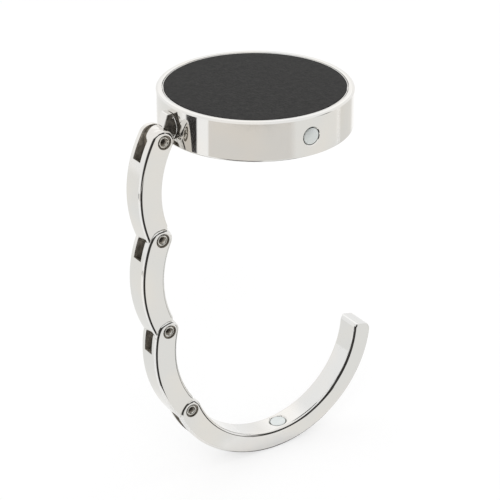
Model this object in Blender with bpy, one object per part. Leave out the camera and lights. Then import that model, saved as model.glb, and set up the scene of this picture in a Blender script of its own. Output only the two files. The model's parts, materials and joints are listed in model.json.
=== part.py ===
"""Folding purse hook: a round puck that stands on a table top, with a jointed hook below it.

Units are metres and +Z is up. The origin is the centre of the rubber pad's underside, where the
puck rests on the table. The hook hangs in the XZ plane from the puck's -X side and curls towards
+X. All hinges stand open on their stops, as they do under load. To fold it, the swivel turns the
chain flat and the links wrap once round the puck by way of -Y, where magnets hold them.

Outlines are lists of (x, z) points, taken anticlockwise as seen from -Y. A link is drawn in its
own frame, with its first pin at the origin and the centre of its arc on +X.
"""

import math

import bmesh
import bpy
from mathutils import Matrix, Vector

# Puck, a die-cast cup
PUCK_RADIUS = 0.0225
PUCK_HEIGHT = 0.0094
PUCK_TOP_ROUND = 0.0008
PUCK_BOTTOM_ROUND = 0.0005
LIP_WIDTH = 0.0014
TOP_RECESS_DEPTH = 0.0013
WEB_THICKNESS = 0.0011
BOTTOM_WALL = 0.0023
PLATE_LEDGE_WIDTH = 0.0012
SEAT_GAP = 0.00008
RIM_CLEARANCE = 0.0001

# Inlay on top of the puck
TRAY_FLOOR = 0.00025
TRAY_WALL = 0.0002
TRAY_BELOW_LIP = 0.0001
INLAY_BELOW_LIP = 0.00005
TAPE_THICKNESS = 0.0001
TAPE_MARGIN = 0.0006

# Base plate and pad under the puck
PAD_THICKNESS = 0.001
PAD_PROUD = 0.0005
PAD_MARGIN = 0.0003
PLATE_THICKNESS = 0.0008

# Magnets
MAGNET_RADIUS = 0.002
MAGNET_THICKNESS = 0.0018
RIM_MAGNET_RECESS = 0.00012
LINK_MAGNET_RECESS = 0.00005
POCKET_CLEARANCE = 0.0001

# Swivel through the puck's wall
STUB_RADIUS = 0.00115
STUB_CLEARANCE = 0.0001
FLANGE_RADIUS = 0.0028
FLANGE_THICKNESS = 0.0004
FLANGE_CLEARANCE = 0.0002
WASHER_THICKNESS = 0.0003
SWIVEL_PLAY = 0.00008
SPRING_SEAT_RADIUS = 0.0022
SPRING_SEAT_DEPTH = 0.0005
SPRING_WASHER_RADIUS = 0.002
SPRING_WASHER_THICKNESS = 0.0002
SPRING_WASHER_RISE = 0.0002
COLLAR_RADIUS = 0.002
COLLAR_LENGTH = 0.001
COLLAR_CLEARANCE = 0.00006
STUB_END_PROUD = 0.0003
BLOCK_NECK_HEIGHT = 0.0063
BLOCK_TOP_LENGTH = 0.0015
BLOCK_LUG_RADIUS = 0.0027
BLOCK_FACE_LENGTH = 0.0029
TONGUE_HALF_HEIGHT = 0.002
LUG_TOP_ANGLE = math.radians(72.0)
FIRST_PIN_DROP = 0.0024

# Chain of links
RING_CLEARANCE = 0.0008
LINK_THICKNESS = 0.006
ARM_THICKNESS = 0.0051
LINK_WIDTH = 0.0065
CHEEK_RADIUS = 0.0027
SHOULDER_CLEARANCE = 0.0002
STOP_CLEARANCE = 0.00015
LUG_RADIUS = 0.0023
LUG_WIDTH = 0.0027
LUG_SIDE_CLEARANCE = 0.0002
SLOT_LENGTH = 0.0063
SLOT_WEB = 0.0012
HEEL_LENGTH = 0.0039
HEEL_WIDTH = 0.0018
EDGE_ROUND = 0.0006
TIP_ROUND = 0.0007
LINK_SPAN = math.radians(54.5)
ARM_SPAN = math.radians(157.0)
ARM_TAPER_SPAN = math.radians(50.0)
INNER_CUT_ANGLE = math.radians(45.0)

# Fold of each hinge, from its open stop to the closed ring
FOLDS = (math.radians(34.9), math.radians(49.2), math.radians(43.5), math.radians(19.3))

# Tubular rivets in the hinges
RIVET_RADIUS = 0.001
RIVET_BORE_RADIUS = 0.00055
RIVET_CLEARANCE = 0.00006
RIVET_HEAD_RADIUS = 0.0014
RIVET_HEAD_THICKNESS = 0.0003
RIVET_HEAD_PLAY = 0.00005
HEAD_POCKET_CLEARANCE = 0.0003
HEAD_POCKET_DEPTH = 0.00055

# Places of the magnets round the closed ring and along the arm
FRONT_MAGNET_ANGLE = math.radians(90.0)
HOOK_MAGNET_ANGLE = math.radians(74.6)

# Facets
PUCK_SEGMENTS = 96
HIDDEN_SEGMENTS = 48
SHOULDER_SEGMENTS = 48
SMALL_SEGMENTS = 24
END_SEGMENTS = 12
LINK_ARC_SEGMENTS = 10
ARM_ARC_SEGMENTS = 28
ROUND_SEGMENTS = 2
ROUND_PROFILE_SHARE = 0.5
SMOOTH_ANGLE = math.radians(35.0)
CUT_OVERRUN = 0.001

# Heights and radii of the puck that follow from the sizes above
BODY_BOTTOM = PAD_PROUD
BODY_TOP = BODY_BOTTOM + PUCK_HEIGHT
AXIS_HEIGHT = BODY_BOTTOM + PUCK_HEIGHT / 2
RECESS_RADIUS = PUCK_RADIUS - LIP_WIDTH
RECESS_FLOOR = BODY_TOP - TOP_RECESS_DEPTH
CAVITY_TOP = RECESS_FLOOR - WEB_THICKNESS
PLATE_RECESS_RADIUS = PUCK_RADIUS - BOTTOM_WALL
CAVITY_RADIUS = PLATE_RECESS_RADIUS - PLATE_LEDGE_WIDTH
PAD_TAPE_BOTTOM = PAD_THICKNESS + SEAT_GAP
PLATE_BOTTOM = PAD_TAPE_BOTTOM + TAPE_THICKNESS + SEAT_GAP
PLATE_LEDGE = PLATE_BOTTOM + PLATE_THICKNESS + SEAT_GAP
PLATE_RADIUS = PLATE_RECESS_RADIUS - RIM_CLEARANCE
PAD_RADIUS = PLATE_RADIUS - PAD_MARGIN
TRAY_TAPE_BOTTOM = RECESS_FLOOR + SEAT_GAP
TRAY_BOTTOM = TRAY_TAPE_BOTTOM + TAPE_THICKNESS + SEAT_GAP
TRAY_TOP = BODY_TOP - TRAY_BELOW_LIP
TRAY_RADIUS = RECESS_RADIUS - RIM_CLEARANCE
INLAY_TAPE_BOTTOM = TRAY_BOTTOM + TRAY_FLOOR + SEAT_GAP
INLAY_BOTTOM = INLAY_TAPE_BOTTOM + TAPE_THICKNESS + SEAT_GAP
INLAY_TOP = BODY_TOP - INLAY_BELOW_LIP
INLAY_RADIUS = TRAY_RADIUS - TRAY_WALL - RIM_CLEARANCE

# The closed ring and the first pin
RING_INNER = PUCK_RADIUS + RING_CLEARANCE
RING_OUTER = RING_INNER + LINK_THICKNESS
PIN_CIRCLE = RING_INNER + CHEEK_RADIUS
OUTER_DEPTH = RING_OUTER - PIN_CIRCLE
FIRST_PIN_TILT = math.asin(FIRST_PIN_DROP / PIN_CIRCLE)
FIRST_PIN = (-PIN_CIRCLE * math.cos(FIRST_PIN_TILT), AXIS_HEIGHT - FIRST_PIN_DROP)
FIRST_TURN = FIRST_PIN_TILT - FOLDS[0]
SHOULDER_RADIUS = CHEEK_RADIUS + SHOULDER_CLEARANCE
SLOT_WIDTH = LUG_WIDTH + 2 * LUG_SIDE_CLEARANCE
WEB_FACE = CHEEK_RADIUS - SLOT_WEB

# The swivel's pieces along -X, seen from the puck's axis
FLANGE_BACK = -PUCK_RADIUS + FLANGE_THICKNESS
WASHER_FRONT = FLANGE_BACK + SWIVEL_PLAY
WASHER_BACK = WASHER_FRONT + WASHER_THICKNESS
FLANGE_SEAT = WASHER_BACK + SWIVEL_PLAY
SPRING_SEAT = -CAVITY_RADIUS - SPRING_SEAT_DEPTH
SPRING_FRONT = SPRING_SEAT + SWIVEL_PLAY
SPRING_BACK = SPRING_FRONT + SPRING_WASHER_THICKNESS + SPRING_WASHER_RISE
COLLAR_FRONT = SPRING_BACK + SWIVEL_PLAY
COLLAR_BACK = COLLAR_FRONT + COLLAR_LENGTH
STUB_END = COLLAR_BACK + STUB_END_PROUD

# Angles of the hidden partners, from the places where the folded ring brings the magnets
LINK_MAGNET_ANGLE = FRONT_MAGNET_ANGLE - FIRST_PIN_TILT - LINK_SPAN
REAR_MAGNET_ANGLE = FIRST_PIN_TILT + 3 * LINK_SPAN + HOOK_MAGNET_ANGLE


def clear_scene():
    for item in list(bpy.data.objects):
        bpy.data.objects.remove(item, do_unlink=True)


def material(name, colour, roughness, metallic):
    result = bpy.data.materials.new(name)
    result.use_nodes = True
    shader = result.node_tree.nodes["Principled BSDF"]
    shader.inputs["Base Color"].default_value = (*colour, 1.0)
    shader.inputs["Roughness"].default_value = roughness
    shader.inputs["Metallic"].default_value = metallic
    result.diffuse_color = (*colour, 1.0)
    return result


def plated_zinc(node):
    return material(node + "_plated_zinc", (0.80, 0.79, 0.76), 0.12, 1.0)


def steel(node):
    return material(node + "_steel", (0.62, 0.62, 0.60), 0.30, 1.0)


def nickel(node):
    return material(node + "_nickel", (0.66, 0.69, 0.70), 0.25, 1.0)


def tape(node):
    return material(node + "_tape", (0.85, 0.84, 0.78), 0.60, 0.0)


def leather(node):
    return material(node + "_leather", (0.052, 0.050, 0.048), 0.55, 0.0)


def rubber(node):
    return material(node + "_rubber", (0.03, 0.03, 0.03), 0.85, 0.0)


def nylon(node):
    return material(node + "_nylon", (0.82, 0.81, 0.76), 0.50, 0.0)


def mesh_from(shape, name):
    bmesh.ops.recalc_face_normals(shape, faces=shape.faces)
    result = bpy.data.meshes.new(name)
    shape.to_mesh(result)
    shape.free()
    return result


def add_object(name, mesh, look, parent=None):
    result = bpy.data.objects.new(name, mesh)
    bpy.context.scene.collection.objects.link(result)
    result.parent = parent
    mesh.materials.append(look(name))
    mesh.shade_smooth()
    mesh.set_sharp_from_angle(angle=SMOOTH_ANGLE)
    return result


def add_tool(name, mesh, target, operation="DIFFERENCE"):
    """Cut a shape from a piece, or join it to the piece, and let it move with the piece."""
    tool = bpy.data.objects.new(name, mesh)
    bpy.context.scene.collection.objects.link(tool)
    tool.parent = target
    tool.hide_render = True
    tool.display_type = "WIRE"
    modifier = target.modifiers.new(name, "BOOLEAN")
    modifier.operation = operation
    modifier.solver = "EXACT"
    modifier.object = tool
    return tool


def turned_mesh(name, outline, segments, axis=(0, 0, 1)):
    """Spin a closed outline of (radius, height) points round the given axis."""
    shape = bmesh.new()
    verts = [shape.verts.new((radius, 0, height)) for radius, height in outline]
    for first, second in zip(verts, verts[1:] + verts[:1]):
        if first.co.x > 0 or second.co.x > 0:
            shape.edges.new((first, second))
    profile = list(shape.verts) + list(shape.edges)
    bmesh.ops.spin(
        shape, geom=profile, cent=(0, 0, 0), axis=(0, 0, 1), angle=math.tau,
        steps=segments, use_merge=True, use_duplicate=False)
    bmesh.ops.remove_doubles(shape, verts=shape.verts, dist=SEAT_GAP / segments)
    turn = Vector((0, 0, 1)).rotation_difference(Vector(axis)).to_matrix().to_4x4()
    bmesh.ops.transform(shape, matrix=turn, verts=shape.verts)
    return mesh_from(shape, name)


def disc_mesh(name, radius, low, high, segments, axis=(0, 0, 1)):
    outline = [(0, low), (radius, low), (radius, high), (0, high)]
    return turned_mesh(name, outline, segments, axis)


def ring_mesh(name, inner, outer, low, high, segments, axis=(0, 0, 1)):
    outline = [(inner, low), (outer, low), (outer, high), (inner, high)]
    return turned_mesh(name, outline, segments, axis)


def slab_mesh(name, outline, width, edge_round=0.0):
    """Extrude an outline along Y, half to each side, and round the edges of its two faces."""
    shape = bmesh.new()
    front = [shape.verts.new((x, -width / 2, z)) for x, z in outline]
    face = shape.faces.new(front)
    made = bmesh.ops.extrude_face_region(shape, geom=[face], use_keep_orig=True)
    back = [item for item in made["geom"] if isinstance(item, bmesh.types.BMVert)]
    bmesh.ops.translate(shape, verts=back, vec=(0, width, 0))
    bmesh.ops.recalc_face_normals(shape, faces=shape.faces)
    if edge_round > 0:
        caps = [item for item in shape.faces if len(item.verts) == len(outline)]
        edges = {edge for cap in caps for edge in cap.edges}
        rims = sorted(edges, key=lambda edge: edge.index)
        bmesh.ops.bevel(
            shape, geom=rims, offset=edge_round, segments=ROUND_SEGMENTS,
            profile=ROUND_PROFILE_SHARE, affect="EDGES", clamp_overlap=False)
    return mesh_from(shape, name)


def arc_points(centre, radius, start, end, steps):
    """Points on an arc from start to end, both included."""
    points = []
    for step in range(steps + 1):
        angle = start + (end - start) * step / steps
        points.append((centre[0] + radius * math.cos(angle), centre[1] + radius * math.sin(angle)))
    return points


def moved(point, origin, turn):
    """Turn a point anticlockwise about zero and carry it to a new origin."""
    x = point[0] * math.cos(turn) - point[1] * math.sin(turn)
    z = point[0] * math.sin(turn) + point[1] * math.cos(turn)
    return (origin[0] + x, origin[1] + z)


def ring_point(radius, angle):
    """A point of the ring at an angle past the link's first pin, in the link's frame."""
    return (PIN_CIRCLE - radius * math.cos(angle), -radius * math.sin(angle))


def ring_angle(point):
    return math.atan2(-point[1], PIN_CIRCLE - point[0])


def meet_ring(start, direction, radius):
    """Where a ray from a point first meets a circle round the ring's centre."""
    offset = (start[0] - PIN_CIRCLE, start[1])
    along = offset[0] * direction[0] + offset[1] * direction[1]
    rest = offset[0] ** 2 + offset[1] ** 2 - radius ** 2
    root = math.sqrt(along ** 2 - rest)
    distance = min(value for value in (-along - root, -along + root) if value > 0)
    return (start[0] + distance * direction[0], start[1] + distance * direction[1])


def radial_place(angle, radius):
    """A place on the puck's rim facing outwards, counted from the swivel by way of -Y."""
    outward = Vector((-math.cos(angle), -math.sin(angle), 0))
    turn = Vector((0, 0, 1)).rotation_difference(outward).to_matrix().to_4x4()
    spot = outward * radius
    return Matrix.Translation((spot.x, spot.y, AXIS_HEIGHT)) @ turn


def make_puck_body():
    top_centre = (PUCK_RADIUS - PUCK_TOP_ROUND, BODY_TOP - PUCK_TOP_ROUND)
    bottom_centre = (PUCK_RADIUS - PUCK_BOTTOM_ROUND, BODY_BOTTOM + PUCK_BOTTOM_ROUND)
    outline = [
        (0, RECESS_FLOOR),
        (0, CAVITY_TOP),
        (CAVITY_RADIUS, CAVITY_TOP),
        (CAVITY_RADIUS, PLATE_LEDGE),
        (PLATE_RECESS_RADIUS, PLATE_LEDGE),
        (PLATE_RECESS_RADIUS, BODY_BOTTOM),
        *arc_points(bottom_centre, PUCK_BOTTOM_ROUND, -math.pi / 2, 0, ROUND_SEGMENTS),
        *arc_points(top_centre, PUCK_TOP_ROUND, 0, math.pi / 2, ROUND_SEGMENTS + 1),
        (RECESS_RADIUS, BODY_TOP),
        (RECESS_RADIUS, RECESS_FLOOR),
    ]
    body = add_object("puck_body", turned_mesh("puck_body", outline, PUCK_SEGMENTS), plated_zinc)

    bore = STUB_RADIUS + STUB_CLEARANCE
    flange_seat = FLANGE_RADIUS + FLANGE_CLEARANCE
    outline = [
        (0, -PUCK_RADIUS - CUT_OVERRUN),
        (flange_seat, -PUCK_RADIUS - CUT_OVERRUN),
        (flange_seat, FLANGE_SEAT),
        (bore, FLANGE_SEAT),
        (bore, SPRING_SEAT),
        (SPRING_SEAT_RADIUS, SPRING_SEAT),
        (SPRING_SEAT_RADIUS, -CAVITY_RADIUS + CUT_OVERRUN),
        (0, -CAVITY_RADIUS + CUT_OVERRUN),
    ]
    mesh = turned_mesh("swivel_hole", outline, SMALL_SEGMENTS, (1, 0, 0))
    add_tool("swivel_hole", mesh, body).location = (0, 0, AXIS_HEIGHT)

    floor = -RIM_MAGNET_RECESS - MAGNET_THICKNESS - SEAT_GAP
    for name, angle in (("front_pocket", FRONT_MAGNET_ANGLE), ("rear_pocket", REAR_MAGNET_ANGLE)):
        radius = MAGNET_RADIUS + POCKET_CLEARANCE
        mesh = disc_mesh(name, radius, floor, CUT_OVERRUN, SMALL_SEGMENTS)
        add_tool(name, mesh, body).matrix_local = radial_place(angle, PUCK_RADIUS)


def magnet_mesh(name, recess):
    return disc_mesh(name, MAGNET_RADIUS, -recess - MAGNET_THICKNESS, -recess, SMALL_SEGMENTS)


def make_rim_magnets():
    places = (("rim_magnet_front", FRONT_MAGNET_ANGLE), ("rim_magnet_rear", REAR_MAGNET_ANGLE))
    for name, angle in places:
        magnet = add_object(name, magnet_mesh(name, RIM_MAGNET_RECESS), nickel)
        magnet.matrix_local = radial_place(angle, PUCK_RADIUS)


def add_disc(name, radius, low, thickness, segments, look):
    add_object(name, disc_mesh(name, radius, low, low + thickness, segments), look)


def make_inlay():
    add_disc(
        "tray_adhesive", TRAY_RADIUS - TAPE_MARGIN, TRAY_TAPE_BOTTOM, TAPE_THICKNESS,
        HIDDEN_SEGMENTS, tape)
    outline = [
        (0, TRAY_BOTTOM),
        (TRAY_RADIUS, TRAY_BOTTOM),
        (TRAY_RADIUS, TRAY_TOP),
        (TRAY_RADIUS - TRAY_WALL, TRAY_TOP),
        (TRAY_RADIUS - TRAY_WALL, TRAY_BOTTOM + TRAY_FLOOR),
        (0, TRAY_BOTTOM + TRAY_FLOOR),
    ]
    add_object("inlay_tray", turned_mesh("inlay_tray", outline, PUCK_SEGMENTS), steel)
    add_disc(
        "inlay_adhesive", INLAY_RADIUS - TAPE_MARGIN, INLAY_TAPE_BOTTOM, TAPE_THICKNESS,
        HIDDEN_SEGMENTS, tape)
    add_disc(
        "leather_inlay", INLAY_RADIUS, INLAY_BOTTOM, INLAY_TOP - INLAY_BOTTOM,
        PUCK_SEGMENTS, leather)


def make_base():
    add_disc(
        "base_plate", PLATE_RADIUS, PLATE_BOTTOM, PLATE_THICKNESS, HIDDEN_SEGMENTS, steel)
    add_disc(
        "pad_adhesive", PAD_RADIUS - TAPE_MARGIN, PAD_TAPE_BOTTOM, TAPE_THICKNESS,
        HIDDEN_SEGMENTS, tape)
    add_disc("base_pad", PAD_RADIUS, 0, PAD_THICKNESS, PUCK_SEGMENTS, rubber)


def block_outline(pin):
    """The swivel block from the side: a plate at the rim, a lug round its pin, and a heel."""
    half = BLOCK_NECK_HEIGHT / 2
    heel_face = WEB_FACE - STOP_CLEARANCE
    heel_side = heel_face - HEEL_WIDTH
    face_angle = -math.acos(heel_face / BLOCK_LUG_RADIUS) + FIRST_TURN
    rim_side = -math.asin((half + pin[1]) / BLOCK_LUG_RADIUS)
    return [
        (-RIM_CLEARANCE, -half),
        (-RIM_CLEARANCE, -TONGUE_HALF_HEIGHT),
        (FLANGE_THICKNESS / 2, -TONGUE_HALF_HEIGHT),
        (FLANGE_THICKNESS / 2, TONGUE_HALF_HEIGHT),
        (-RIM_CLEARANCE, TONGUE_HALF_HEIGHT),
        (-RIM_CLEARANCE, half),
        (-BLOCK_TOP_LENGTH, half),
        *arc_points(pin, BLOCK_LUG_RADIUS, LUG_TOP_ANGLE, math.pi, END_SEGMENTS),
        (pin[0] - BLOCK_LUG_RADIUS, pin[1] - BLOCK_FACE_LENGTH),
        moved((heel_side, -HEEL_LENGTH), pin, FIRST_TURN),
        moved((heel_face, -HEEL_LENGTH), pin, FIRST_TURN),
        *arc_points(pin, BLOCK_LUG_RADIUS, face_angle, rim_side, ROUND_SEGMENTS),
    ]


def make_swivel():
    pin = (FIRST_PIN[0] + PUCK_RADIUS, FIRST_PIN[1] - AXIS_HEIGHT)
    mesh = slab_mesh("swivel_block", block_outline(pin), LUG_WIDTH)
    block = add_object("swivel_block", mesh, plated_zinc)
    block.location = (-PUCK_RADIUS, 0, AXIS_HEIGHT)
    outline = [
        (0, 0),
        (FLANGE_RADIUS, 0),
        (FLANGE_RADIUS, FLANGE_THICKNESS),
        (STUB_RADIUS, FLANGE_THICKNESS),
        (STUB_RADIUS, PUCK_RADIUS + STUB_END),
        (0, PUCK_RADIUS + STUB_END),
    ]
    mesh = turned_mesh("swivel_stub", outline, SMALL_SEGMENTS, (1, 0, 0))
    add_tool("swivel_stub", mesh, block, "UNION")
    mesh = disc_mesh(
        "swivel_block_bore", RIVET_RADIUS + RIVET_CLEARANCE, -LINK_WIDTH, LINK_WIDTH,
        SMALL_SEGMENTS, (0, 1, 0))
    add_tool("swivel_block_bore", mesh, block).location = (pin[0], 0, pin[1])

    bore = STUB_RADIUS + STUB_CLEARANCE
    washer = ring_mesh(
        "swivel_washer", bore, FLANGE_RADIUS, WASHER_FRONT, WASHER_BACK, SMALL_SEGMENTS,
        (1, 0, 0))
    outline = [
        (bore, SPRING_FRONT + SPRING_WASHER_RISE),
        (SPRING_WASHER_RADIUS, SPRING_FRONT),
        (SPRING_WASHER_RADIUS, SPRING_FRONT + SPRING_WASHER_THICKNESS),
        (bore, SPRING_BACK),
    ]
    spring = turned_mesh("spring_washer", outline, SMALL_SEGMENTS, (1, 0, 0))
    collar = ring_mesh(
        "swivel_collar", STUB_RADIUS + COLLAR_CLEARANCE, COLLAR_RADIUS, COLLAR_FRONT,
        COLLAR_BACK, SMALL_SEGMENTS, (1, 0, 0))
    pieces = (
        ("swivel_washer", washer, nylon),
        ("spring_washer", spring, steel),
        ("swivel_collar", collar, steel),
    )
    for name, mesh, look in pieces:
        add_object(name, mesh, look).location = (0, 0, AXIS_HEIGHT)
    return block


def fork_end(fold):
    """The cheeks' round end, and the stop face that runs from it to the outer face."""
    stop = math.pi + fold / 2
    end = arc_points((0, 0), CHEEK_RADIUS, 0, stop, END_SEGMENTS)
    return [*end, meet_ring((0, 0), (math.cos(stop), math.sin(stop)), RING_OUTER)]


def plain_end():
    """The first link's end, which has no stop face: round, and blended into the outer face."""
    points = []
    for step in range(END_SEGMENTS + 1):
        angle = math.pi * step / END_SEGMENTS
        depth = OUTER_DEPTH if angle > math.pi / 2 else CHEEK_RADIUS
        points.append((depth * math.cos(angle), CHEEK_RADIUS * math.sin(angle)))
    return points


def lug_end(fold):
    """The end that carries the next fork, in the frame of its pin: stop face, lug, inner cut."""
    stop = math.pi - fold / 2
    away = (math.cos(stop), math.sin(stop))
    foot = (STOP_CLEARANCE * math.sin(stop), -STOP_CLEARANCE * math.cos(stop))
    reach = (-LUG_RADIUS - foot[0]) / away[0]
    inward = (math.cos(INNER_CUT_ANGLE), math.sin(INNER_CUT_ANGLE))
    return [
        meet_ring(foot, away, RING_OUTER),
        (-LUG_RADIUS, foot[1] + reach * away[1]),
        *arc_points((0, 0), LUG_RADIUS, math.pi, math.tau, END_SEGMENTS),
        (LUG_RADIUS, LUG_RADIUS * math.tan(INNER_CUT_ANGLE)),
        meet_ring((0, 0), inward, RING_INNER),
    ]


def arc_between(radius, first, last, steps):
    """Inner points of a stretch of the ring, without its two ends."""
    angles = [first + (last - first) * step / steps for step in range(1, steps)]
    return [ring_point(radius, angle) for angle in angles]


def link_outline(start, next_fold):
    """A link from the side: its fork's end, outer face, lug end and inner face."""
    pin = ring_point(PIN_CIRCLE, LINK_SPAN)
    end = [moved(point, pin, LINK_SPAN) for point in lug_end(next_fold)]
    outer = arc_between(RING_OUTER, ring_angle(start[-1]), ring_angle(end[0]), LINK_ARC_SEGMENTS)
    inner = arc_between(RING_INNER, ring_angle(end[-1]), 0, LINK_ARC_SEGMENTS)
    return [*start, *outer, *end, *inner]


def arm_face_radius(angle):
    """The arm's outer face, which draws in smoothly from the links' thickness."""
    share = min(max(angle / ARM_TAPER_SPAN, 0), 1)
    blend_share = share * share * (3 - 2 * share)
    return RING_OUTER - (LINK_THICKNESS - ARM_THICKNESS) * blend_share


def arm_outline():
    """The hook arm from the side: its fork's end, long outer face, square tip and inner face."""
    start = fork_end(FOLDS[-1])
    first = ring_angle(start[-1])
    tip_outer = RING_INNER + ARM_THICKNESS
    corner = (tip_outer - TIP_ROUND, RING_INNER + TIP_ROUND)
    tip = []
    for middle, side in ((corner[0], 1), (corner[1], -1)):
        for step in range(ROUND_SEGMENTS + 1):
            swing = math.pi / 2 * step / ROUND_SEGMENTS
            across, along = (math.cos(swing), math.sin(swing))
            if side < 0:
                across, along = (-along, across)
            back = TIP_ROUND * (1 - along) / PIN_CIRCLE
            tip.append(ring_point(middle + TIP_ROUND * across, ARM_SPAN - back))
    last = ring_angle(tip[0])
    outer = []
    for step in range(1, ARM_ARC_SEGMENTS):
        angle = first + (last - first) * step / ARM_ARC_SEGMENTS
        outer.append(ring_point(arm_face_radius(angle - first), angle))
    inner = arc_between(RING_INNER, ring_angle(tip[-1]), 0, ARM_ARC_SEGMENTS)
    return [*start, *outer, *tip, *inner]


def slot_outline():
    """The slot in a fork: open right through near the pin, then a window with a web behind it."""
    outside = -OUTER_DEPTH - CUT_OVERRUN
    inside = CHEEK_RADIUS + CUT_OVERRUN
    return [
        (outside, -SLOT_LENGTH),
        (WEB_FACE, -SLOT_LENGTH),
        (WEB_FACE, -SHOULDER_RADIUS),
        (inside, -SHOULDER_RADIUS),
        (inside, CHEEK_RADIUS + CUT_OVERRUN),
        (outside, CHEEK_RADIUS + CUT_OVERRUN),
    ]


def cut_rivet_hole(target, purpose, pin, step_radius, step_face, segments):
    """Bore a piece for a rivet, with a wider round step in both flanks."""
    bore = RIVET_RADIUS + RIVET_CLEARANCE
    outside = LINK_WIDTH / 2 + CUT_OVERRUN
    outline = [
        (0, -outside),
        (step_radius, -outside),
        (step_radius, -step_face),
        (bore, -step_face),
        (bore, step_face),
        (step_radius, step_face),
        (step_radius, outside),
        (0, outside),
    ]
    name = target.name + purpose
    tool = add_tool(name, turned_mesh(name, outline, segments, (0, 1, 0)), target)
    tool.location = (pin[0], 0, pin[1])


def cut_fork(target):
    name = target.name + "_slot"
    add_tool(name, slab_mesh(name, slot_outline(), SLOT_WIDTH), target)
    pocket = RIVET_HEAD_RADIUS + HEAD_POCKET_CLEARANCE
    pocket_floor = LINK_WIDTH / 2 - HEAD_POCKET_DEPTH
    cut_rivet_hole(target, "_rivet_hole", (0, 0), pocket, pocket_floor, SMALL_SEGMENTS)


def cut_lug(target, pin):
    cut_rivet_hole(target, "_lug_sides", pin, SHOULDER_RADIUS, LUG_WIDTH / 2, SHOULDER_SEGMENTS)


def make_link(name, outline, parent):
    link = add_object(name, slab_mesh(name, outline, LINK_WIDTH, EDGE_ROUND), plated_zinc, parent)
    cut_fork(link)
    return link


def add_face_magnet(name, link, angle):
    """Set a magnet into a link's inner face."""
    spot = ring_point(RING_INNER, angle)
    inward = Vector((math.cos(angle), 0, math.sin(angle)))
    turn = Vector((0, 0, 1)).rotation_difference(inward).to_matrix().to_4x4()
    place = Matrix.Translation((spot[0], 0, spot[1])) @ turn
    floor = -LINK_MAGNET_RECESS - MAGNET_THICKNESS - SEAT_GAP
    pocket = disc_mesh(
        name + "_pocket", MAGNET_RADIUS + POCKET_CLEARANCE, floor, CUT_OVERRUN, SMALL_SEGMENTS)
    add_tool(name + "_pocket", pocket, link).matrix_local = place
    magnet = add_object(name, magnet_mesh(name, LINK_MAGNET_RECESS), nickel, link)
    magnet.matrix_local = place


def rivet_mesh(name):
    """A tubular rivet, with a flat head spread in each cheek's pocket."""
    under_head = LINK_WIDTH / 2 - HEAD_POCKET_DEPTH + RIVET_HEAD_PLAY
    head_top = under_head + RIVET_HEAD_THICKNESS
    outline = [
        (RIVET_BORE_RADIUS, -head_top),
        (RIVET_HEAD_RADIUS, -head_top),
        (RIVET_HEAD_RADIUS, -under_head),
        (RIVET_RADIUS, -under_head),
        (RIVET_RADIUS, under_head),
        (RIVET_HEAD_RADIUS, under_head),
        (RIVET_HEAD_RADIUS, head_top),
        (RIVET_BORE_RADIUS, head_top),
    ]
    return turned_mesh(name, outline, SMALL_SEGMENTS, (0, 1, 0))


def make_chain(block):
    """Hang the links and the arm one from another, each open on its stop."""
    far_pin = ring_point(PIN_CIRCLE, LINK_SPAN)
    parent = block
    pin = (FIRST_PIN[0] + PUCK_RADIUS, FIRST_PIN[1] - AXIS_HEIGHT)
    turn = FIRST_TURN
    chain = []
    for index in range(len(FOLDS)):
        is_arm = index == len(FOLDS) - 1
        start = plain_end() if index == 0 else fork_end(FOLDS[index])
        outline = arm_outline() if is_arm else link_outline(start, FOLDS[index + 1])
        name = "hook_arm" if is_arm else "link_" + str(index + 1)
        link = make_link(name, outline, parent)
        link.location = (pin[0], 0, pin[1])
        link.rotation_euler = (0, -turn, 0)
        rivet = "hinge_rivet_" + str(index + 1)
        add_object(rivet, rivet_mesh(rivet), steel, link)
        if not is_arm:
            cut_lug(link, far_pin)
            turn = LINK_SPAN - FOLDS[index + 1]
        pin = far_pin
        parent = link
        chain.append(link)
    add_face_magnet("link_magnet", chain[1], LINK_MAGNET_ANGLE)
    add_face_magnet("hook_magnet", chain[-1], HOOK_MAGNET_ANGLE)


clear_scene()
make_puck_body()
make_rim_magnets()
make_inlay()
make_base()
make_chain(make_swivel())
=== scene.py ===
# A folding purse hook, open as it hangs in use: a round inlaid puck, three short links and a long
# curved arm, all bright plated metal, on a white studio floor. Lengths are metres and +Z is up.
import json
import math

import bmesh
import bpy
from mathutils import Matrix, Vector


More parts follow.
